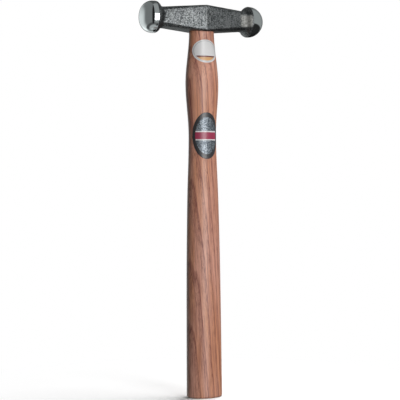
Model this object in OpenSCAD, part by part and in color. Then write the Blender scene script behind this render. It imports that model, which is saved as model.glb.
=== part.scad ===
// Double-faced embossing hammer: one forged steel head with two domed faces, wedged on an ash handle.
// +Z runs up the handle, +X along the head towards its fuller dome, -Y is the labelled side.
// The origin is the centre of the handle's flat butt.

/* [Striking faces] */
// Distance between the two rims, where the shoulders reach the full width of the faces
rim_spacing = 83.5; // [78:0.5:110]
// Rim diameter of the shallower dome, on the -X end
shallow_face_d = 25.5; // [22:0.5:32]
// Rim diameter of the fuller dome, on the +X end
full_face_d = 25; // [22:0.5:32]
// Height of the shallower dome in front of its band
shallow_dome_h = 9.8; // [9.6:0.1:12]
// Height of the fuller dome in front of its band
full_dome_h = 12; // [11.4:0.1:14]
// Radius that rounds the edge of the shallower dome
shallow_edge_r = 9.3; // [5:0.1:9.4]
// Radius that rounds the edge of the fuller dome
full_edge_r = 11; // [5:0.1:11.2]
// Length of the straight band between the shallower dome and its shoulder
shallow_band_l = 1.5; // [0.2:0.1:4]
// Length of the straight band between the fuller dome and its shoulder
full_band_l = 0.5; // [0.2:0.1:4]
// Length of the flare that joins a neck to its rim
flare_l = 9.5; // [8:0.5:12]
// Radius of the rounded shoulder just behind a rim
shoulder_r = 4.2; // [3:0.1:6]

/* [Head body] */
// Height of the body at its middle ridge
body_h = 21; // [18:0.5:30]
// Width of the body, across the cheeks, at its middle ridge
body_w = 23.2; // [21:0.2:32]
// Height of the body at a neck
neck_h = 15.9; // [13:0.2:18]
// Width of the body at a neck
neck_w = 17; // [14:0.2:20]
// Chamfer on the body's long edges at the middle ridge
body_chamfer = 0.8; // [0.6:0.1:2.5]
// Chamfer on the body's long edges at a neck
neck_chamfer = 2.3; // [1.5:0.1:4]

/* [Handle] */
// Height of the middle of the head above the butt
head_z = 305.5; // [280:0.1:370]
// Thickness of the oval handle as a share of its width
oval = 0.74; // [0.68:0.01:0.85]
// Width at the butt
butt_w = 29.8; // [26:0.2:36]
// Width of the grip
grip_w = 28.4; // [25:0.2:34]
// Width of the taper between the grip and the waist
taper_w = 26.2; // [23:0.2:32]
// Width at the waist
waist_w = 23.1; // [19:0.1:28]
// Width of the swell below the head
swell_w = 27.7; // [22:0.1:33]
// Width where the handle enters the head
entry_w = 21; // [18:0.1:25.5]
// Height of the grip's middle above the butt
grip_z = 100; // [70:1:125]
// Distance of the taper's middle below the head
taper_drop = 135; // [115:1:140]
// Distance of the waist below the head
waist_drop = 83; // [70:1:95]
// Distance of the swell below the head
swell_drop = 42; // [30:1:55]
// Width and height of the bevel around the butt
butt_bevel = 1.5; // [0.5:0.1:3]

/* [Tenon and wedges] */
// Width of the eye at its tightest, in the middle of the head
eye_w = 19.6; // [17:0.1:21]
// Width of the eye where it opens at the head's top
eye_top_w = 20.4; // [18:0.1:24]
// Depth of the tenon's end below the head's top
tenon_recess = 0.3; // [0.1:0.1:2]
// Depth of the saw kerf in the tenon
kerf_depth = 13.5; // [9:0.5:15]
// Thickness of the wooden wedge at the head's top
wedge_t = 2.6; // [1.5:0.1:4]
// Thickness of the wooden wedge's lower edge
wedge_tip_t = 0.8; // [0.4:0.1:1.2]
// Outside diameter of the steel ring wedge at the head's top
ring_d = 9.5; // [7:0.1:12]
// Wall of the ring wedge at the head's top
ring_wall = 1.3; // [0.8:0.1:2]
// Wall of the ring wedge at its driven edge
ring_edge_wall = 0.4; // [0.2:0.1:0.6]
// Depth that the ring wedge is driven to
ring_depth = 7; // [4:0.5:8]

/* [Labels] */
// Thickness of a label
label_t = 0.2; // [0.15:0.05:0.4]
// Width of the oval paper label, measured flat across the handle
paper_w = 21; // [10:0.2:21]
// Height of the oval paper label
paper_h = 18.8; // [10:0.2:21]
// Distance of the paper label's centre below the head
paper_drop = 16; // [11:0.5:24]
// Width of the oval foil label, measured flat across the handle
foil_w = 20.4; // [10:0.2:21]
// Height of the oval foil label
foil_h = 37.5; // [20:0.5:44]
// Distance of the foil label's centre below the waist
foil_drop = 1; // [-14:1:30]

/* [Hidden] */
$fn = 96;
STEPS = 7;
PAST = 5;
neck_x = rim_spacing / 2 - flare_l;
body_end_x = neck_x + 0.55 * flare_l;
head_top_z = head_z + body_h / 2;
head_bottom_z = head_z - body_h / 2;
root_r = neck_h / 2 - 0.4;
waist_z = head_bottom_z - waist_drop;
paper_z = head_bottom_z - paper_drop;
foil_z = waist_z - foil_drop;

// Height and half-width of the handle at each place where its outline turns
stations = [
    [butt_bevel, butt_w / 2], [grip_z, grip_w / 2], [head_bottom_z - taper_drop, taper_w / 2],
    [waist_z, waist_w / 2], [head_bottom_z - swell_drop, swell_w / 2], [head_bottom_z, entry_w / 2]
];

// Value at x of the straight line from (0, at_middle) to (neck_x, at_neck)
function tapered(at_middle, at_neck, x) = at_middle + (at_neck - at_middle) * x / neck_x;

// Slope of the handle's outline at station i: level where it turns, else the chord of its neighbours
function before(i) = (stations[i][1] - stations[i - 1][1]) / (stations[i][0] - stations[i - 1][0]);
function slope(i) =
    i == 0 ? before(1)
    : i == len(stations) - 1 ? 0
    : before(i) * before(i + 1) < 0 ? 0
    : (stations[i + 1][1] - stations[i - 1][1]) / (stations[i + 1][0] - stations[i - 1][0]);

// Cubic curve between stations i and i + 1, at the share t of the way
function bend(i, t) =
    let (a = stations[i], b = stations[i + 1], run = b[0] - a[0])
    a[1] * (1 + 2 * t) * pow(1 - t, 2) + b[1] * t * t * (3 - 2 * t)
    + run * t * (1 - t) * (slope(i) * (1 - t) - slope(i + 1) * t);

function outline() = [
    for (i = [0 : len(stations) - 2]) for (s = [0 : STEPS - 1])
        let (t = s / STEPS)
        [bend(i, t), stations[i][0] + t * (stations[i + 1][0] - stations[i][0])]
];

// Symmetrical bar along X, extruded across it, whose half-height runs from middle to neck
module tapered_bar(middle, neck) {
    tip = tapered(middle, neck, body_end_x);
    rotate([90, 0, 0]) linear_extrude(2 * body_w, center = true)
        polygon([
            [-body_end_x, -tip], [0, -middle], [body_end_x, -tip],
            [body_end_x, tip], [0, middle], [-body_end_x, tip]
        ]);
}

// Forged body: flat tapered cheeks, top and underside, and chamfers that widen towards the necks
module body() {
    across_middle = (body_w + body_h) / 2 - body_chamfer;
    across_neck = (neck_w + neck_h) / 2 - neck_chamfer;
    intersection() {
        tapered_bar(body_h / 2, neck_h / 2);
        rotate([90, 0, 0]) tapered_bar(body_w / 2, neck_w / 2);
        rotate([45, 0, 0]) tapered_bar(across_middle / sqrt(2), across_neck / sqrt(2));
        rotate([-45, 0, 0]) tapered_bar(across_middle / sqrt(2), across_neck / sqrt(2));
    }
}

// One striking end, turned about Z from its root at z = 0: concave flare, rounded shoulder, straight band,
// then a dome with a rounded edge and a flatter middle, tangent to each other
module striking_end(face_d, band_l, dome_h, edge_r) {
    rim_r = face_d / 2;
    turn = 2 * atan((rim_r - root_r) / flare_l);
    flare_r = flare_l / sin(turn) - shoulder_r;
    edge_z = flare_l + band_l;
    across = rim_r - edge_r;
    middle_r = (across * across + dome_h * dome_h - edge_r * edge_r) / (2 * (dome_h - edge_r));
    middle_z = edge_z + dome_h - middle_r;
    join = edge_r / (middle_r - edge_r);
    rotate_extrude() {
        difference() {
            polygon([
                [0, 0], [root_r + flare_r, 0], [rim_r - shoulder_r, flare_l], [0, flare_l]
            ]);
            translate([root_r + flare_r, 0]) circle(flare_r);
        }
        intersection() {
            translate([rim_r - shoulder_r, flare_l]) circle(shoulder_r);
            square([rim_r + PAST, flare_l]);
        }
        translate([0, flare_l]) square([rim_r, band_l]);
        intersection() {
            translate([across, edge_z]) circle(edge_r);
            translate([across, edge_z]) square(edge_r + PAST);
        }
        intersection() {
            translate([0, middle_z]) circle(middle_r);
            polygon([
                [0, edge_z], [across, edge_z],
                [across * (1 + join), edge_z + (edge_z - middle_z) * join],
                [across * (1 + join), edge_z + dome_h + PAST], [0, edge_z + dome_h + PAST]
            ]);
        }
    }
}

// Oval handle and tenon in one, from the butt to above the head, with the eye's two tapers.
// It is made of four mirrored quarters, so that each flattened surface spans a quarter turn.
module oval_stick(grow = 0) {
    for (side = [0, 180], flip = [0, 1])
        rotate(side) mirror([0, flip, 0]) scale([1, oval, 1]) rotate_extrude(angle = 90)
        polygon(concat(
            [[0, 0], [butt_w / 2 - butt_bevel + grow, 0]],
            [for (p = outline()) [p[0] + grow, p[1]]],
            [
                [entry_w / 2 + grow, head_bottom_z], [eye_w / 2, head_z],
                [eye_top_w / 2, head_top_z], [eye_top_w / 2, head_top_z + PAST],
                [0, head_top_z + PAST]
            ]
        ));
}

// The same stick with its tenon trimmed to the slopes of the head's top
module trimmed_stick() {
    half_top = body_h / 2 - tenon_recess;
    tip = tapered(half_top, neck_h / 2 - tenon_recess, neck_x);
    intersection() {
        oval_stick();
        rotate([90, 0, 0]) linear_extrude(2 * butt_w, center = true)
            polygon([
                [-neck_x, -PAST], [neck_x, -PAST], [neck_x, head_z + tip],
                [0, head_z + half_top], [-neck_x, head_z + tip]
            ]);
    }
}

// Wedge-shaped space of the saw kerf, along the head
module kerf() {
    top = head_top_z + PAST;
    floor_z = head_top_z - kerf_depth;
    flank = (wedge_t - wedge_tip_t) / 2 / kerf_depth;
    half_top = wedge_t / 2 + flank * PAST;
    rotate([90, 0, 90]) linear_extrude(eye_top_w + 2 * PAST, center = true)
        polygon([
            [-wedge_tip_t / 2, floor_z], [wedge_tip_t / 2, floor_z],
            [half_top, top], [-half_top, top]
        ]);
}

// Tapered ring, thick at the head's top and thin at its driven edge
module ring_space() {
    bore_r = ring_d / 2 - ring_wall;
    rotate_extrude()
        polygon([
            [bore_r, head_top_z], [bore_r, head_top_z - ring_depth],
            [bore_r + ring_edge_wall, head_top_z - ring_depth], [ring_d / 2, head_top_z]
        ]);
}

// Thin oval label on the -Y side of the handle, cut from a skin around it by its flat outline
module label_skin(w, h, centre_z) {
    intersection() {
        difference() {
            oval_stick(label_t);
            oval_stick();
        }
        translate([0, 0, centre_z]) rotate([90, 0, 0]) linear_extrude(butt_w)
            scale([w / h, 1]) circle(h / 2);
    }
}

module head() {
    color("#5d625f") difference() {
        translate([0, 0, head_z]) {
            body();
            translate([neck_x, 0, 0]) rotate([0, 90, 0])
                striking_end(full_face_d, full_band_l, full_dome_h, full_edge_r);
            translate([-neck_x, 0, 0]) rotate([0, -90, 0])
                striking_end(shallow_face_d, shallow_band_l, shallow_dome_h, shallow_edge_r);
        }
        oval_stick();
    }
}

module handle() {
    color("#b57a5e") difference() {
        trimmed_stick();
        kerf();
        ring_space();
    }
}

module wooden_wedge() {
    color("#d8b98c") difference() {
        intersection() {
            trimmed_stick();
            kerf();
        }
        ring_space();
    }
}

module ring_wedge() {
    color("#9a9c9c") intersection() {
        trimmed_stick();
        ring_space();
    }
}

module paper_label() {
    color("#e9e7e4") label_skin(paper_w, paper_h, paper_z);
}

module foil_label() {
    color("#b9bbbd") label_skin(foil_w, foil_h, foil_z);
}

head();
handle();
wooden_wedge();
ring_wedge();
paper_label();
foil_label();
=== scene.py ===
"""Looks of a double-faced embossing hammer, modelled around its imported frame.

Lengths in the tables are millimetres and are scaled to metres when a mesh is made. The handle stands
along +Z on its butt, and the head lies along X with its fuller dome at +X.
"""

import math

import bmesh
import bpy
import numpy as np
from mathutils import Matrix, Vector

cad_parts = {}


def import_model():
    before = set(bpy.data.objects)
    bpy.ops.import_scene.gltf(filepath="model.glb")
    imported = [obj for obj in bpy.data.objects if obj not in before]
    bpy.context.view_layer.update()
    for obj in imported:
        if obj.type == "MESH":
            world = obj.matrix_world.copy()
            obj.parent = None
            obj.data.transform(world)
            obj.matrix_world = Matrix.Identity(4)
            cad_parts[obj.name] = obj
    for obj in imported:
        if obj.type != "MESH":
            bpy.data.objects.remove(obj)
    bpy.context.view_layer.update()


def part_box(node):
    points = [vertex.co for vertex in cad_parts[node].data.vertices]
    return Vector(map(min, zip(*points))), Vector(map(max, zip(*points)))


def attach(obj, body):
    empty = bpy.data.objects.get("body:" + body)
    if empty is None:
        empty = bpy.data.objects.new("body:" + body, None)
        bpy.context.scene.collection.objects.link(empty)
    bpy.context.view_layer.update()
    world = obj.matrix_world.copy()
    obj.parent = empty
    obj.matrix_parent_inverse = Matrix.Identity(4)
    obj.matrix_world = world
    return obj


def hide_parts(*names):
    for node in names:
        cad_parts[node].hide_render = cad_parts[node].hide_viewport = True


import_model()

MM = 0.001
TURN = 2 * math.pi

# ---------------------------------------------------------------- sizes from the frame

head_low, head_high = (np.array(corner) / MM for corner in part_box("head"))
butt_low, butt_high = (np.array(corner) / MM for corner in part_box("handle"))
paper_low, paper_high = (np.array(corner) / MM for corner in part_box("paper_label"))
foil_low, foil_high = (np.array(corner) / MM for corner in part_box("foil_label"))

HEAD_Z = (head_low[2] + head_high[2]) / 2
SHALLOW_R = (head_high[2] - head_low[2]) / 2
SHALLOW_DOME, SHALLOW_EDGE, SHALLOW_BAND = 9.8, 9.3, 1.5
FULL_R = 12.5
FULL_DOME, FULL_EDGE, FULL_BAND = 12.0, 11.0, 0.5
SHALLOW_RIM = -head_low[0] - SHALLOW_DOME - SHALLOW_BAND
FULL_RIM = head_high[0] - FULL_DOME - FULL_BAND
FLARE = 9.5
SHOULDER = 4.2
NECK_X = SHALLOW_RIM - FLARE
ROOT_R = 7.55
POLISH_AHEAD = 0.25

BODY_H, BODY_W, BODY_CHAMFER = 21.0, 23.2, 0.8
NECK_H, NECK_W, NECK_CHAMFER = 15.9, 17.0, 2.3
HEAD_TOP = HEAD_Z + BODY_H / 2
HEAD_UNDER = HEAD_Z - BODY_H / 2
TOP_FALL = (BODY_H - NECK_H) / 2 / NECK_X

# Height and half-width of the handle where its outline turns
OVAL = 0.74
BUTT_R = (butt_high[0] - butt_low[0]) / 2
BEVEL = 1.5
STATIONS = np.array([
    [BEVEL, BUTT_R], [100, 14.2], [HEAD_UNDER - 135, 13.1],
    [HEAD_UNDER - 83, 11.55], [HEAD_UNDER - 42, 13.85], [HEAD_UNDER, 10.5],
])
EYE_R, EYE_TOP_R = 9.8, 10.2
RECESS = 0.3
KERF, WEDGE_T, WEDGE_TIP = 13.5, 2.6, 0.8
RING_R, RING_BORE, RING_DEPTH = 4.75, 3.45, 7.0


# ---------------------------------------------------------------- meshes

def piece_from(name, points, faces):
    """A smooth-shaded object from an array of points in millimetres, with outward normals."""
    mesh = bpy.data.meshes.new(name)
    mesh.from_pydata((points * MM).tolist(), [], faces)
    work = bmesh.new()
    work.from_mesh(mesh)
    bmesh.ops.recalc_face_normals(work, faces=work.faces)
    work.to_mesh(mesh)
    work.free()
    mesh.shade_smooth()
    piece = bpy.data.objects.new(name, mesh)
    bpy.context.scene.collection.objects.link(piece)
    return piece


def skin(name, rings):
    """Closed skin over a stack of rings (stack, around, xyz), with one pole point closing each end."""
    stack, around = rings.shape[:2]
    points = np.concatenate([rings.reshape(-1, 3), [rings[0].mean(0)], [rings[-1].mean(0)]])
    here = np.arange((stack - 1) * around)
    across = here + 1 - around * ((here + 1) % around == 0)
    quads = np.stack([here, across, across + around, here + around], 1).tolist()
    first = np.arange(around)
    second = (first + 1) % around
    low_pole, high_pole = stack * around, stack * around + 1
    last = (stack - 1) * around
    fans = [[low_pole, b, a] for a, b in zip(first.tolist(), second.tolist())]
    fans += [[high_pole, a, b] for a, b in zip((first + last).tolist(), (second + last).tolist())]
    return piece_from(name, points, quads + fans)


def hoop(name, loops):
    """Closed skin over loops (around, loop, xyz) that wraps both along each loop and around them all."""
    around, loop = loops.shape[:2]
    a, b = np.meshgrid(np.arange(around), np.arange(loop), indexing="ij")
    a2, b2 = (a + 1) % around, (b + 1) % loop
    quads = np.stack([a * loop + b, a2 * loop + b, a2 * loop + b2, a * loop + b2], -1)
    return piece_from(name, loops.reshape(-1, 3), quads.reshape(-1, 4).tolist())


def cut_out(piece, cutter):
    """Cuts one closed piece out of another for good, and removes the cutter."""
    cut = piece.modifiers.new("cut", "BOOLEAN")
    cut.operation = "DIFFERENCE"
    cut.solver = "EXACT"
    cut.object = cutter
    depsgraph = bpy.context.evaluated_depsgraph_get()
    result = bpy.data.meshes.new_from_object(piece.evaluated_get(depsgraph))
    piece.modifiers.clear()
    old = piece.data
    piece.data = result
    bpy.data.meshes.remove(old)
    bpy.data.objects.remove(cutter)


def crease(piece, degrees):
    """Keeps edges sharper than this angle crisp in an otherwise smooth piece."""
    piece.data.set_sharp_from_angle(angle=math.radians(degrees))


def ease(value, low, high):
    """Smooth step from 0 at low to 1 at high."""
    t = np.clip((value - low) / (high - low), 0, 1)
    return t * t * (3 - 2 * t)


# ---------------------------------------------------------------- head

def end_radius(ahead, rim_r, band, dome_h, edge_r):
    """Radius of a striking end at a distance ahead of its rim.

    In front of a short band lies the dome: a circle of edge_r rounds its edge, and a wider circle,
    tangent to that one, closes its middle. Behind the rim a circle rounds the shoulder, and a last one,
    tangent to the shoulder, sweeps in to the root at the neck.
    """
    across = rim_r - edge_r
    middle_r = (across ** 2 + dome_h ** 2 - edge_r ** 2) / (2 * (dome_h - edge_r))
    front = np.clip(ahead - band, 0, dome_h)
    join = (middle_r - dome_h) * edge_r / (middle_r - edge_r)
    edge = across + np.sqrt(np.maximum(edge_r ** 2 - front ** 2, 0))
    middle = np.sqrt(np.maximum(middle_r ** 2 - (front + middle_r - dome_h) ** 2, 0))
    dome = np.where(front < join, edge, middle)

    turn = 2 * math.atan((rim_r - ROOT_R) / FLARE)
    flare_r = FLARE / math.sin(turn) - SHOULDER
    behind = np.clip(-ahead, 0, FLARE)
    shoulder = rim_r - SHOULDER + np.sqrt(np.maximum(SHOULDER ** 2 - behind ** 2, 0))
    sweep = ROOT_R + flare_r - np.sqrt(np.maximum(flare_r ** 2 - (FLARE - behind) ** 2, 0))
    rear = np.where(behind < SHOULDER * math.sin(turn), shoulder, sweep)
    return np.where(ahead > 0, dome, rear)


def body_radius(x, angle):
    """Polar radius of the forged body's section at x.

    The section is an eight-sided outline whose sides close in from the ridge to the necks, with its
    corners rounded by adding the eight sides as a high-power mean.
    """
    ridge_round, power = 0.5, 44
    along = (np.sqrt(x ** 2 + ridge_round ** 2) - ridge_round) / NECK_X
    half_w = (BODY_W + (NECK_W - BODY_W) * along) / 2
    half_h = (BODY_H + (NECK_H - BODY_H) * along) / 2
    corner = half_w + half_h - (BODY_CHAMFER + (NECK_CHAMFER - BODY_CHAMFER) * along)
    side, rise = np.abs(np.cos(angle)), np.abs(np.sin(angle))
    total = (side / half_w) ** power + (rise / half_h) ** power + ((side + rise) / corner) ** power
    return total ** (-1 / power)


def forging_lumps(points, count=40):
    """Slow unevenness of a forged skin: the sum of plane waves in seeded random directions."""
    rng = np.random.default_rng(7)
    heading = rng.normal(size=(count, 3))
    heading /= np.linalg.norm(heading, axis=1)[:, None]
    wavelength = rng.uniform(3.0, 9.0, count)
    phase = rng.uniform(0, TURN, count)
    waves = np.sin(points @ (heading * TURN / wavelength[:, None]).T + phase)
    return waves.mean(-1)


def forged_head():
    """One skin from dome tip to dome tip along X: at each x the larger of body and striking end,
    blended where they meet, with a ground step where the polish stops."""
    around = 256
    spread = np.sin(np.linspace(0, math.pi / 2, 44))
    shallow_x = -SHALLOW_RIM - SHALLOW_BAND - SHALLOW_DOME * spread[::-1]
    full_x = FULL_RIM + FULL_BAND + FULL_DOME * spread
    between = np.linspace(shallow_x[-1], full_x[0], 250)[1:-1]
    x = np.concatenate([shallow_x[1:], between, full_x[:-1]])[:, None]
    angle = np.linspace(0, TURN, around, endpoint=False)[None, :]

    shallow = end_radius(-x - SHALLOW_RIM, SHALLOW_R, SHALLOW_BAND, SHALLOW_DOME, SHALLOW_EDGE)
    full = end_radius(x - FULL_RIM, FULL_R, FULL_BAND, FULL_DOME, FULL_EDGE)
    end = np.where(x < 0, shallow, full)
    fade = 1 - ease(np.abs(x), NECK_X + FLARE / 2, NECK_X + FLARE)
    body = body_radius(x, angle) * fade
    power = 18
    radius = (body ** power + end ** power) ** (1 / power)

    rough = ease(x, -SHALLOW_RIM - POLISH_AHEAD, -SHALLOW_RIM - POLISH_AHEAD + 0.4)
    rough = rough * (1 - ease(x, FULL_RIM - 0.4, FULL_RIM))
    flat = np.stack(np.broadcast_arrays(x, radius * np.cos(angle), radius * np.sin(angle)), -1)
    radius = radius + rough * (0.07 + 0.2 * forging_lumps(flat))

    rings = np.stack(
        np.broadcast_arrays(x, radius * np.cos(angle), HEAD_Z + radius * np.sin(angle)), -1
    )
    piece = skin("forged_head", rings)
    cut_out(piece, stick("eye_cutter", HEAD_UNDER - 3, HEAD_TOP + 3, gap=0.04, rim=0.5))
    crease(piece, 28)
    return piece


# ---------------------------------------------------------------- handle

def half_width(z):
    """Half-width of the handle at height z: a cubic between stations, level where the outline turns."""
    heights, widths = STATIONS.T
    chord = np.diff(widths) / np.diff(heights)
    wide = (widths[2:] - widths[:-2]) / (heights[2:] - heights[:-2])
    inner = np.where(chord[:-1] * chord[1:] < 0, 0, wide)
    slopes = np.concatenate([[chord[0]], inner, [0]])
    i = np.clip(np.searchsorted(heights, z) - 1, 0, len(heights) - 2)
    run = heights[i + 1] - heights[i]
    t = np.clip((z - heights[i]) / run, 0, 1)
    level = widths[i] * (1 + 2 * t) * (1 - t) ** 2 + widths[i + 1] * t * t * (3 - 2 * t)
    grip = level + run * t * (1 - t) * (slopes[i] * (1 - t) - slopes[i + 1] * t)
    entry = STATIONS[-1, 1]
    lower_eye = entry + (EYE_R - entry) * (z - HEAD_UNDER) / (HEAD_Z - HEAD_UNDER)
    upper_eye = EYE_R + (EYE_TOP_R - EYE_R) * (z - HEAD_Z) / (HEAD_TOP - HEAD_Z)
    return np.where(z < HEAD_UNDER, grip, np.where(z < HEAD_Z, lower_eye, upper_eye))


def head_roof(x):
    """Height of the head's top at x, which falls away from the middle ridge on both sides."""
    return HEAD_TOP - TOP_FALL * np.abs(x)


def oval_ring(half, z, angle):
    """Rings of the handle's oval section with the given half-widths at heights z."""
    half, z = np.asarray(half)[:, None], np.asarray(z)
    z = z[:, None] if z.ndim == 1 else z
    grid = np.broadcast_arrays(half * np.cos(angle), OVAL * half * np.sin(angle), z)
    return np.stack(grid, -1)


def stick(name, low, high, gap=0.0, rim=0.0):
    """A plain length of the handle's outline, grown by a gap, that flares at the head's two faces."""
    angle = np.linspace(0, TURN, 192, endpoint=False)[None, :]
    z = np.concatenate([[low], np.linspace(HEAD_UNDER - 1, HEAD_TOP + 1, 60), [high]])
    z = z[(z >= low) & (z <= high)]
    flare = rim * np.maximum(1 - np.abs(z - HEAD_UNDER), 0) + rim * np.maximum(1 - np.abs(z - HEAD_TOP), 0)
    return skin(name, oval_ring(half_width(z) + gap + flare, z, angle))


def ash_handle():
    """The handle from its bevelled butt to the trimmed tenon, less the kerf and the ring's groove."""
    angle = np.linspace(0, TURN, 168, endpoint=False)[None, :]
    corner = np.linspace(0, math.pi / 2, 9)
    share = np.linspace(0.08, 1, 12)
    flat = BUTT_R - BEVEL
    butt = oval_ring(share * flat, np.zeros(len(share)), angle)
    turned = oval_ring(flat + BEVEL * np.sin(corner[1:]), BEVEL * (1 - np.cos(corner[1:])), angle)
    shaft_z = np.arange(BEVEL + 1.0, HEAD_UNDER, 1.1)
    shaft = oval_ring(half_width(shaft_z), shaft_z, angle)

    rise = np.linspace(0, 1, 14)[:, None]
    end_z = head_roof(EYE_TOP_R * np.cos(angle)) - RECESS
    tenon_z = HEAD_UNDER + rise * (end_z - HEAD_UNDER)
    half = half_width(tenon_z)
    tenon = np.stack([half * np.cos(angle), OVAL * half * np.sin(angle), tenon_z], -1)
    cap_half = EYE_TOP_R * (1 - share)[:, None][1:] + 0.3
    cap_x, cap_y = cap_half * np.cos(angle), OVAL * cap_half * np.sin(angle)
    cap = np.stack([cap_x, cap_y, head_roof(cap_x) - RECESS], -1)

    piece = skin("ash_handle", np.concatenate([butt, turned, shaft, tenon, cap]))
    cut_out(piece, wedge_bar("kerf_cutter", grow=0.03, length=EYE_TOP_R + 2, over=3))
    cut_out(piece, ring_band("ring_cutter", grow=0.03, over=3))
    crease(piece, 35)
    return piece


# ---------------------------------------------------------------- wedges

def wedge_bar(name, grow=0.0, length=None, over=None):
    """A bar along the head whose thickness grows upwards: rounded rectangles stacked in height."""
    angle = np.linspace(0, TURN, 96, endpoint=False)[None, :]
    rise = np.linspace(0, 1, 16)[:, None]
    floor = HEAD_TOP - KERF
    z = floor - grow + rise * (KERF + grow + (over or 0))
    thick = (WEDGE_TIP + (WEDGE_T - WEDGE_TIP) * (z - floor) / KERF) / 2 + grow
    half = length or half_width(z) - 0.05
    power = 10
    reach = (np.abs(np.cos(angle) / half) ** power + np.abs(np.sin(angle) / thick) ** power) ** (-1 / power)
    x, y = reach * np.cos(angle), reach * np.sin(angle)
    if over is None:
        z = floor + rise * (head_roof(x) - RECESS + 0.12 - floor)
    rings = np.stack(np.broadcast_arrays(x, y, z), -1)
    if over is None:
        inner = np.linspace(0.92, 0.1, 8)[:, None]
        top_x, top_y = inner * x[-1], inner * y[-1]
        top = np.stack([top_x, top_y, head_roof(top_x) - RECESS + 0.12], -1)
        rings = np.concatenate([rings, top])
    return skin(name, rings)


def ring_band(name, grow=0.0, over=None):
    """The ring wedge: a four-sided profile, wide at the top and thin at its driven edge, turned about Z."""
    angle = np.linspace(0, TURN, 120, endpoint=False)
    edge_wall = 0.4
    wall_low = np.array([RING_BORE - grow, RING_BORE + edge_wall + grow])
    wall_high = np.array([RING_BORE - grow, RING_R + grow])
    share = np.linspace(0, 1, 8)
    outer = wall_low[1] + (wall_high[1] - wall_low[1]) * share
    radius = np.concatenate([outer, [wall_high[1] - 0.12, wall_high[0] + 0.12], np.full(8, wall_low[0])])
    level = np.concatenate([share * 0.985, [1, 1], share[::-1] * 0.985])
    x = radius * np.cos(angle)[:, None]
    y = radius * np.sin(angle)[:, None]
    low = HEAD_TOP - RING_DEPTH - grow
    high = HEAD_TOP + over if over else head_roof(x) - RECESS + 0.2
    z = low + level * (high - low)
    return hoop(name, np.stack(np.broadcast_arrays(x, y, z), -1))


# ---------------------------------------------------------------- labels

def label(name, middle_z, half_w, half_h, thick):
    """A thin oval sheet bent round the handle's front, rings from its middle to its edge and back.

    A point at flat place (s, q) lies at height middle_z + q, where the handle's oval has been
    followed for an arc length s from its front, and then out along the oval's normal.
    """
    around, out = 128, 26
    angle = np.linspace(0, TURN, around, endpoint=False)[None, :]
    share = np.sin(np.linspace(0.03, math.pi / 2, out))[:, None]
    s, q = share * half_w * np.cos(angle), share * half_h * np.sin(angle)
    z = middle_z + q
    half = half_width(z)
    steps = np.linspace(-1.45, 1.45, 600)
    speed = np.sqrt(np.cos(steps) ** 2 + (OVAL * np.sin(steps)) ** 2)
    length = np.concatenate([[0], np.cumsum((speed[1:] + speed[:-1]) / 2 * np.diff(steps))])
    length -= np.interp(0, steps, length)
    turn = np.interp(s / half, length, steps)
    normal = np.stack([OVAL * np.sin(turn), -np.cos(turn), np.zeros_like(turn)], -1)
    normal /= np.linalg.norm(normal, axis=-1)[..., None]
    base = np.stack([half * np.sin(turn), -OVAL * half * np.cos(turn), z], -1)
    edge_round = np.sqrt(np.maximum(1 - np.clip((share - 0.975) / 0.025, 0, 1) ** 2, 0.0))
    lift = 0.02 + (thick - 0.02) * edge_round
    front = base + normal * lift[..., None]
    back = base[::-1] + normal[::-1] * 0.01
    piece = skin(name, np.concatenate([front, back[1:]]))
    flat = np.stack(np.broadcast_arrays(0.5 + s / half_w / 2, 0.5 + q / half_h / 2), -1)
    rows = np.concatenate([flat, flat[::-1][1:]]).reshape(-1, 2)
    rows = np.concatenate([rows, [[0.5, 0.5], [0.5, 0.5]]])
    corners = np.empty(len(piece.data.loops), np.int32)
    piece.data.loops.foreach_get("vertex_index", corners)
    flat_map = piece.data.uv_layers.new(name="flat")
    flat_map.data.foreach_set("uv", rows[corners].ravel())
    crease(piece, 40)
    return piece


# ---------------------------------------------------------------- shader kit

class Signal:
    """A number or vector on a socket. Arithmetic on it adds Math nodes to its material."""

    def __init__(self, finish, socket):
        self.finish = finish
        self.socket = socket

    def math(self, operation, *others):
        return self.finish.node("ShaderNodeMath", {"operation": operation}, self, *others)

    def __add__(self, other):
        return self.math("ADD", other)

    def __mul__(self, other):
        return self.math("MULTIPLY", other)

    def __sub__(self, other):
        return self.math("SUBTRACT", other)

    def __rsub__(self, other):
        return self.finish.node("ShaderNodeMath", {"operation": "SUBTRACT"}, other, self)

    def __truediv__(self, other):
        return self.math("DIVIDE", other)

    def __pow__(self, other):
        return self.math("POWER", other)

    __radd__ = __add__
    __rmul__ = __mul__


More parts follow.
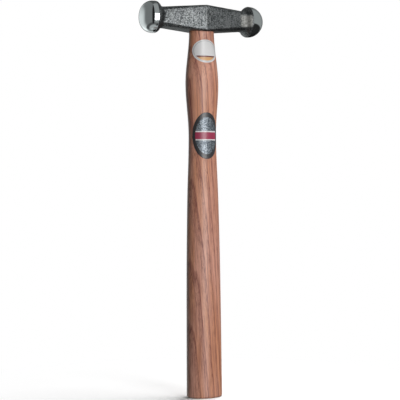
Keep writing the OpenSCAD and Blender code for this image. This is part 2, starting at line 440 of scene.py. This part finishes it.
class Finish:
    """A node material around one Principled shader."""

    def __init__(self, name, **constants):
        self.material = bpy.data.materials.new(name)
        self.material.use_nodes = True
        self.nodes = self.material.node_tree.nodes
        self.links = self.material.node_tree.links
        self.shader = self.nodes["Principled BSDF"]
        for socket, value in constants.items():
            self.shader.inputs[socket.replace("_", " ")].default_value = value

    def node(self, kind, settings=None, *values, out=0, **named):
        """Adds a node: its settings first, then its sockets by order or by name."""
        made = self.nodes.new(kind)
        for key, value in (settings or {}).items():
            setattr(made, key, value)
        sockets = list(enumerate(values)) + [(k.replace("_", " "), v) for k, v in named.items()]
        for key, value in sockets:
            if isinstance(value, Signal):
                self.links.new(value.socket, made.inputs[key])
            else:
                made.inputs[key].default_value = value
        return Signal(self, made.outputs[out])

    def place(self, scale=(1, 1, 1), turn=(0, 0, 0), shift=(0, 0, 0)):
        """Object coordinates in millimetres, then scaled, turned and shifted."""
        here = self.node("ShaderNodeTexCoord", out="Object")
        grown = tuple(s / MM for s in scale)
        return self.node("ShaderNodeMapping", None, Vector=here, Scale=grown, Rotation=turn, Location=shift)

    def stretch(self, vector, scale, shift=(0, 0, 0)):
        """A vector scaled and shifted."""
        return self.node("ShaderNodeMapping", None, Vector=vector, Scale=scale, Location=shift)

    def split(self, vector):
        """The three parts of a vector."""
        parts = self.node("ShaderNodeSeparateXYZ", None, vector)
        outputs = parts.socket.node.outputs
        return [Signal(self, outputs[i]) for i in range(3)]

    def noise(self, vector, scale=1.0, detail=2.0, roughness=0.5):
        """Soft noise from 0 to 1."""
        return self.node(
            "ShaderNodeTexNoise", None, Vector=vector, Scale=scale, Detail=detail, Roughness=roughness
        )

    def cells(self, vector, scale=1.0):
        """Cell pattern: distance to the nearest of many scattered seeds."""
        return self.node("ShaderNodeTexVoronoi", None, out="Distance", Vector=vector, Scale=scale)

    def step(self, value, low, high, start=0.0, end=1.0):
        """Smooth step from start at low to end at high, or the other way where low is above high."""
        settings = {"interpolation_type": "SMOOTHSTEP", "clamp": True}
        if low > high:
            low, high, start, end = high, low, end, start
        return self.node("ShaderNodeMapRange", settings, value, low, high, start, end)

    def mix(self, share, first, second):
        """Colour between two others."""
        made = self.nodes.new("ShaderNodeMix")
        made.data_type = "RGBA"
        for key, value in ((0, share), (6, first), (7, second)):
            if isinstance(value, Signal):
                self.links.new(value.socket, made.inputs[key])
            else:
                made.inputs[key].default_value = value if key == 0 else (*value, 1)
        return Signal(self, made.outputs[2])

    def bump(self, height, strength, depth):
        """Normal from a height, with the depth of a full step in millimetres."""
        return self.node("ShaderNodeBump", None, Height=height, Strength=strength, Distance=depth * MM)

    def drive(self, **signals):
        """Links signals to the shader's sockets."""
        for socket, signal in signals.items():
            self.links.new(signal.socket, self.shader.inputs[socket.replace("_", " ")])
        return self.material


# ---------------------------------------------------------------- finishes

def head_steel():
    """Forged steel: a mottled grey skin between the ground ends, which are polished bright, and a painted
    highlight: a paler, rougher, less metallic patch on the flare behind the fuller dome.
    """
    steel = Finish("head_steel")
    here = steel.place()
    x, y, z = steel.split(here)
    low_edge = -SHALLOW_RIM - POLISH_AHEAD + 0.2
    high_edge = FULL_RIM - 0.2
    rough = steel.step(x, low_edge - 0.12, low_edge + 0.12)
    rough = rough * steel.step(x, high_edge + 0.12, high_edge - 0.12)

    speckle = steel.noise(here, 1.0, 3.0, 0.62)
    fine = steel.noise(here, 2.6, 2.0, 0.6)
    pits = steel.cells(here, 0.55)
    scale = steel.step(speckle * 0.75 + fine * 0.25, 0.40, 0.60)
    patches = steel.step(steel.noise(here, 0.16, 2.0, 0.5), 0.38, 0.66)
    dark = steel.mix(patches, (0.019, 0.021, 0.022), (0.031, 0.034, 0.034))
    pale = steel.mix(patches, (0.128, 0.135, 0.138), (0.172, 0.180, 0.182))
    skin_colour = steel.mix(scale, dark, pale)
    # Painted highlight: a paler patch on the flare behind the fuller dome, round the head's middle height,
    # stands in for the key lamp's reflection there; the same patch is also made rougher and less metallic.
    lift = (z - HEAD_Z + 0.5).math("ABSOLUTE")
    painted_highlight_patch = steel.step(x + speckle * 3.0, 31.5, 35.0) * steel.step(lift + speckle * 2.5, 7.0, 4.8)
    painted_highlight_patch = painted_highlight_patch * steel.step(x, FULL_RIM - 0.8, FULL_RIM - 2.0)
    skin_colour = steel.mix(painted_highlight_patch * (0.35 + scale * 0.45), skin_colour, (0.50, 0.50, 0.47))

    lines = steel.noise(steel.place((4.0, 0.5, 0.5)), 1.0, 3.0, 0.6)
    bright = steel.mix(lines, (0.56, 0.585, 0.585), (0.63, 0.655, 0.655))
    colour = steel.mix(rough, bright, skin_colour)
    polished_rough = 0.06 + lines * 0.05
    skin_rough = 0.46 - scale * 0.08 + painted_highlight_patch * 0.26
    roughness = polished_rough + rough * (skin_rough - polished_rough)
    metallic = 1.0 - rough * (0.15 + painted_highlight_patch * 0.55)
    height = rough * (speckle * 0.6 + fine * 0.25 + pits * 0.35)
    normal = steel.bump(height, 0.8, 0.22)
    return steel.drive(Base_Color=colour, Roughness=roughness, Metallic=metallic, Normal=normal)


def ash(name, tint, coat):
    """Ash: growth rings about a far pith that leans away, dark open pores in each ring's early wood,
    and fine fibres. All of the grain runs parallel to the leaning pith."""
    wood = Finish(name, Coat_Weight=coat, Coat_Roughness=0.30, Coat_IOR=1.5, Specular_IOR_Level=0.2)
    x, y, z = wood.split(wood.place())
    lean_x, lean_y = x + z * 0.056, y + z * 0.032
    grain = wood.node("ShaderNodeCombineXYZ", None, lean_x, lean_y, z)
    sway = wood.noise(wood.stretch(grain, (0.045, 0.045, 0.008)), 1.0, 2.0, 0.5)
    ripple = wood.noise(wood.stretch(grain, (0.25, 0.25, 0.016), (7, 3, 1)), 1.0, 2.0, 0.5)
    off_x = lean_x - 56.0 + sway * 6.0
    off_y = lean_y - 30.0 + ripple * 2.4
    reach = (off_x * off_x + off_y * off_y) ** 0.5
    ring = (reach / 4.4).math("FRACT")
    early = wood.step(ring, 0.0, 0.12) * wood.step(ring, 0.80, 0.16)
    line = wood.step(ring, 0.0, 0.05) * wood.step(ring, 0.28, 0.08)
    pores = wood.noise(wood.stretch(grain, (2.6, 2.6, 0.06)), 1.0, 2.0, 0.6)
    open_pores = wood.step(pores, 0.50, 0.62) * (0.15 + early * 0.85)
    fibre = wood.noise(wood.stretch(grain, (5.5, 5.5, 0.14), (2, 9, 4)), 1.0, 3.0, 0.65)
    streak = wood.noise(wood.stretch(grain, (0.70, 0.70, 0.009), (5, 5, 0)), 1.0, 3.0, 0.6)
    cloud = wood.noise(wood.stretch(grain, (0.10, 0.10, 0.012)), 1.0, 2.0, 0.5)

    pink, amber, brown, deep = tint
    ground = wood.mix(wood.step(cloud, 0.35, 0.65), pink, amber)
    ground = wood.mix(wood.step(streak, 0.42, 0.68) * 0.50, ground, brown)
    ground = wood.mix(early * 0.20 + line * 0.40, ground, brown)
    ground = wood.mix(open_pores * 0.75, ground, deep)
    colour = wood.mix(wood.step(fibre, 0.35, 0.75) * 0.25, ground, deep)
    roughness = 0.46 + open_pores * 0.12 + fibre * 0.06
    normal = wood.bump(fibre * 0.25 - open_pores, 0.35, 0.05)
    return wood.drive(Base_Color=colour, Roughness=roughness, Normal=normal)


def ring_steel():
    """Ground steel with grinding lines across the top and darker heat-tinted patches."""
    steel = Finish("ring_steel", Metallic=1.0)
    lines = steel.noise(steel.place((1.2, 9.0, 1.2)), 1.0, 3.0, 0.7)
    stain = steel.noise(steel.place(), 0.5, 2.0, 0.5)
    colour = steel.mix(lines, (0.36, 0.35, 0.34), (0.60, 0.59, 0.58))
    colour = steel.mix(steel.step(stain, 0.5, 0.75) * 0.5, colour, (0.22, 0.16, 0.12))
    return steel.drive(Base_Color=colour, Roughness=0.28 + lines * 0.2, Normal=steel.bump(lines, 0.4, 0.05))


def flat_parts(finish):
    """Across and along parts of the flat label map, each from -1 to 1."""
    across, along, _ = finish.split(finish.node("ShaderNodeUVMap", {"uv_map": "flat"}))
    return across * 2.0 - 1.0, along * 2.0 - 1.0


def label_paper():
    """Coated white paper with a thin grey rule inside its edge, and an amber foot under a maroon line."""
    paper = Finish("label_paper", Coat_Weight=0.25, Coat_Roughness=0.15)
    across, along = flat_parts(paper)
    reach = (across * across + along * along) ** 0.5
    fibre = paper.noise(paper.place(), 3.0, 3.0, 0.6)
    white = paper.mix(fibre, (0.74, 0.73, 0.73), (0.84, 0.835, 0.835))
    rule = paper.step(reach, 0.84, 0.865) * paper.step(reach, 0.915, 0.89)
    colour = paper.mix(rule * 0.55, white, (0.30, 0.30, 0.31))
    foot = paper.step(along, -0.50, -0.53) * paper.step(reach, 0.83, 0.81)
    colour = paper.mix(foot, colour, (0.72, 0.40, 0.17))
    line = paper.step(along, -0.53, -0.50) * paper.step(along, -0.38, -0.41) * paper.step(reach, 0.83, 0.81)
    colour = paper.mix(line, colour, (0.16, 0.036, 0.030))
    edge = paper.step(reach, 0.975, 1.0)
    colour = paper.mix(edge * 0.5, colour, (0.45, 0.42, 0.40))
    normal = paper.bump(fibre + edge, 0.25, 0.03)
    return paper.drive(Base_Color=colour, Roughness=0.38 + fibre * 0.1, Normal=normal)


def label_foil():
    """Silver foil under a black border, with a plain crimson band between two pale lines."""
    foil = Finish("label_foil", Coat_Weight=0.15, Coat_Roughness=0.15)
    across, along = flat_parts(foil)
    reach = (across * across + along * along) ** 0.5
    grain = foil.noise(foil.place(), 1.1, 3.0, 0.6)
    crinkle = foil.cells(foil.place(), 0.9)
    silver = foil.mix(foil.step(grain, 0.38, 0.62), (0.035, 0.050, 0.065), (0.27, 0.30, 0.33))
    height = along.math("ABSOLUTE")
    band = foil.step(height, 0.155, 0.145)
    lines = foil.step(height, 0.205, 0.195) * (1 - band)
    field = foil.step(reach, 0.80, 0.785)
    colour = foil.mix(lines, silver, (0.82, 0.80, 0.80))
    colour = foil.mix(band, colour, (0.36, 0.035, 0.085))
    border = foil.mix(grain, (0.020, 0.019, 0.021), (0.035, 0.033, 0.035))
    colour = foil.mix(field, border, colour)
    shine = field * (1 - band) * (1 - lines)
    roughness = 0.42 + shine * 0.04
    normal = foil.bump(crinkle * field + foil.step(reach, 0.78, 0.80) * 0.4, 0.2, 0.04)
    return foil.drive(Base_Color=colour, Roughness=roughness, Metallic=shine * 0.6, Normal=normal)


# ---------------------------------------------------------------- pieces

PINK = (0.80, 0.415, 0.305)
AMBER = (0.77, 0.355, 0.205)
BROWN = (0.30, 0.105, 0.080)
DEEP = (0.14, 0.042, 0.036)

lacquered = ash("lacquered_ash", (PINK, AMBER, BROWN, DEEP), coat=0.36)
PALE_WOOD = ((0.66, 0.47, 0.28), (0.60, 0.40, 0.22), (0.42, 0.25, 0.12), (0.20, 0.10, 0.05))
raw = ash("wedge_wood", PALE_WOOD, coat=0.05)


def place(piece, material, node):
    """Gives a piece its finish and the body that it rides on, and hides the frame node that it stands for.
    """
    piece.data.materials.clear()
    piece.data.materials.append(material)
    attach(piece, "root")
    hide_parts(node)


paper_z = (paper_low[2] + paper_high[2]) / 2
foil_z = (foil_low[2] + foil_high[2]) / 2
wedge = wedge_bar("kerf_wedge")
cut_out(wedge, ring_band("wedge_ring_cutter", grow=0.03, over=3))
crease(wedge, 35)
ring = ring_band("driven_ring")
crease(ring, 40)

place(forged_head(), head_steel(), "head")
place(ash_handle(), lacquered, "handle")
place(wedge, raw, "wooden_wedge")
place(ring, ring_steel(), "ring_wedge")
place(label("paper_oval", paper_z, 11.6, 9.4, 0.16), label_paper(), "paper_label")
place(label("foil_oval", foil_z, 11.9, 18.75, 0.16), label_foil(), "foil_label")


# ---------------------------------------------------------------- stage, lights and camera

VIEW_TURN = math.radians(24.16)
VIEW_DISTANCE = 0.978
VIEW_HEIGHT = 0.1593
VIEW_SIDE = -0.0023
VIEW_ROLL = math.radians(-0.466)
LENS = 108.6

to_camera = Vector((-math.sin(VIEW_TURN), -math.cos(VIEW_TURN), 0))
to_right = Vector((math.cos(VIEW_TURN), -math.sin(VIEW_TURN), 0))


def stage_finish(name, colour):
    """Pale floor that turns into the white of the background away from the object."""
    finish = Finish(name, Roughness=0.9)
    here = finish.place()
    x, y, _ = finish.split(here)
    away = finish.step((x * x + y * y) ** 0.5, 60.0, 240.0)
    grain = finish.noise(here, 0.05, 2.0, 0.5)
    finish.drive(Base_Color=finish.mix(grain, colour, tuple(c * 0.99 for c in colour)))
    glow = finish.node("ShaderNodeEmission", None, Color=(1, 1, 1, 1), Strength=seen_white(finish))
    blend = finish.nodes.new("ShaderNodeMixShader")
    output = finish.nodes["Material Output"]
    finish.links.new(away.socket, blend.inputs[0])
    finish.links.new(finish.shader.outputs[0], blend.inputs[1])
    finish.links.new(glow.socket, blend.inputs[2])
    finish.links.new(blend.outputs[0], output.inputs["Surface"])
    return finish.material


def seen_white(finish):
    """1 for rays from the camera and for rays that metal or glass sends on, and 0 for other light."""
    kinds = ("Camera", "Glossy", "Transmission")
    rays = [finish.node("ShaderNodeLightPath", out=f"Is {kind} Ray") for kind in kinds]
    return rays[0].math("MAXIMUM", rays[1]).math("MAXIMUM", rays[2])


def floor():
    """A flat disc under the butt: rings of growing radius at height zero."""
    angle = np.linspace(0, TURN, 96, endpoint=False)[None, :]
    radius = np.geomspace(5, 3000, 40)[:, None]
    rings = np.stack(np.broadcast_arrays(radius * np.cos(angle), radius * np.sin(angle), 0 * radius), -1)
    stack, around = rings.shape[:2]
    here = np.arange((stack - 1) * around)
    across = here + 1 - around * ((here + 1) % around == 0)
    quads = np.stack([here, across, across + around, here + around], 1).tolist()
    middle = [list(range(around))]
    made = piece_from("floor", rings.reshape(-1, 3), quads + middle)
    made.data.materials.append(stage_finish("pale_floor", (0.94, 0.94, 0.94)))
    made.visible_glossy = made.visible_diffuse = False


def tent_finish():
    """Grey cloth of the tent by direction, as it shows in bright metal.

    Its level runs up to white at the back on the left, and is darkest round the camera and low on the
    right. It is paler on the right, low behind on the left, and straight down.
    """
    cloth = Finish("tent_cloth")
    x, y, z = cloth.split(cloth.place(turn=(0, 0, VIEW_TURN)))
    turn = x.math("ARCTAN2", y * -1.0) * (180 / math.pi)
    flat = (x * x + y * y) ** 0.5
    climb = (z - HEAD_Z).math("ARCTAN2", flat) * (180 / math.pi)
    back = cloth.step(turn, -76.0, -118.0) * cloth.step(turn, -158.0, -148.0)
    back = back * cloth.step(climb, 42.0, 4.0) * cloth.step(climb, -46.0, -38.0)
    right = cloth.step(turn, 14.0, 18.0) * cloth.step(turn, 150.0, 120.0)
    under = cloth.step(turn, -118.0, -140.0) * cloth.step(climb, -8.0, -20.0)
    level = 0.25 + right * 0.17 + back * 0.75 + under * 0.5
    camera_gap = cloth.step(turn, -13.0, -6.0) * cloth.step(turn, 17.0, 11.0)
    camera_gap = camera_gap * cloth.step(climb, -60.0, -50.0)
    behind = cloth.step(turn.math("ABSOLUTE"), 152.0, 166.0) * (1 - under)
    dark = camera_gap.math("MAXIMUM", behind * 0.6)
    card_edge = turn - (climb * -1.0 - 12.0).math("MAXIMUM", 0.0) * 0.35
    right_card = cloth.step(card_edge, 43.0, 46.0) * cloth.step(climb, -11.0, -15.0)
    low = right_card.math("MAXIMUM", cloth.step(climb, -42.0, -50.0) * cloth.step(climb, -72.0, -58.0) * 0.6)
    level = level * (1 - dark.math("MAXIMUM", low) * 0.93)
    level = level.math("MAXIMUM", cloth.step(climb, -60.0, -68.0) * 0.55)
    glow = cloth.node("ShaderNodeEmission", None, Color=(0.95, 1.0, 1.0, 1), Strength=level)
    cloth.links.new(glow.socket, cloth.nodes["Material Output"].inputs["Surface"])
    cloth.material.cycles.emission_sampling = "NONE"
    return cloth.material


def tent():
    """A cloth tent of radius 2 m round the set, seen only in reflections:
    points at turn t to the camera's right and climb c are radius (sin t cos c, -cos t cos c, sin c)."""
    radius = 2000
    turn = np.radians(np.linspace(-180, 180, 121))[:, None] - VIEW_TURN
    climb = np.radians(np.linspace(-90, 90, 61))[None, :]
    x = radius * np.sin(turn) * np.cos(climb)
    y = -radius * np.cos(turn) * np.cos(climb)
    z = HEAD_Z + radius * np.sin(climb)
    points = np.stack(np.broadcast_arrays(x, y, z), -1)
    rows, columns = points.shape[:2]
    a, b = np.meshgrid(np.arange(rows - 1), np.arange(columns - 1), indexing="ij")
    corner = a * columns + b
    quads = np.stack([corner, corner + columns, corner + columns + 1, corner + 1], -1)
    made = piece_from("tent", points.reshape(-1, 3), quads.reshape(-1, 4).tolist())
    made.data.materials.append(tent_finish())
    made.visible_camera = made.visible_diffuse = made.visible_shadow = False


def lamp(name, azimuth, height, distance, size, watts, mirrored=True):
    """A soft rectangular lamp at an angle to the right of the camera, aimed at the hammer."""
    turn = math.radians(azimuth)
    direction = to_camera * math.cos(turn) + to_right * math.sin(turn)
    data = bpy.data.lights.new(name, "AREA")
    data.shape = "RECTANGLE"
    data.size, data.size_y = size
    data.energy = watts
    made = bpy.data.objects.new(name, data)
    middle = Vector((0, 0, min(height, 0.3)))
    spot = Vector((0, 0, height)) + direction * distance
    made.location = spot
    made.rotation_euler = (middle - spot).to_track_quat("-Z", "Y").to_euler()
    made.visible_glossy = mirrored
    bpy.context.scene.collection.objects.link(made)


def world():
    """Even light for matt surfaces, seen as white by the camera and by metal and glass."""
    made = bpy.data.worlds.new("studio")
    made.use_nodes = True
    tree = made.node_tree
    back = tree.nodes["Background"]
    path = tree.nodes.new("ShaderNodeLightPath")
    matt = tree.nodes.new("ShaderNodeMapRange")
    tree.links.new(path.outputs["Is Diffuse Ray"], matt.inputs["Value"])
    matt.inputs["To Min"].default_value = 1.0
    matt.inputs["To Max"].default_value = 0.01
    tree.links.new(matt.outputs[0], back.inputs["Strength"])
    back.inputs["Color"].default_value = (1, 1, 1, 1)
    bpy.context.scene.world = made


floor()
tent()
world()
lamp("key", 31, 0.17, 1.0, (0.43, 0.82), 10.5)
lamp("overhead", 125, 1.5, 0.5, (0.9, 0.9), 27, mirrored=False)
lamp("rear", 168, 0.4, 1.3, (0.8, 0.8), 6, mirrored=False)

eye = Vector((0, 0, VIEW_HEIGHT)) + to_right * VIEW_SIDE + to_camera * VIEW_DISTANCE
camera_data = bpy.data.cameras.new("camera")
camera_data.lens = LENS
camera_data.sensor_width = 36.0
camera = bpy.data.objects.new("camera", camera_data)
upright = (-to_camera).to_track_quat("-Z", "Y").to_matrix().to_4x4()
camera.matrix_world = Matrix.Translation(eye) @ upright @ Matrix.Rotation(VIEW_ROLL, 4, "Z")
bpy.context.scene.collection.objects.link(camera)
bpy.context.scene.camera = camera
bpy.context.scene.view_settings.view_transform = "Standard"
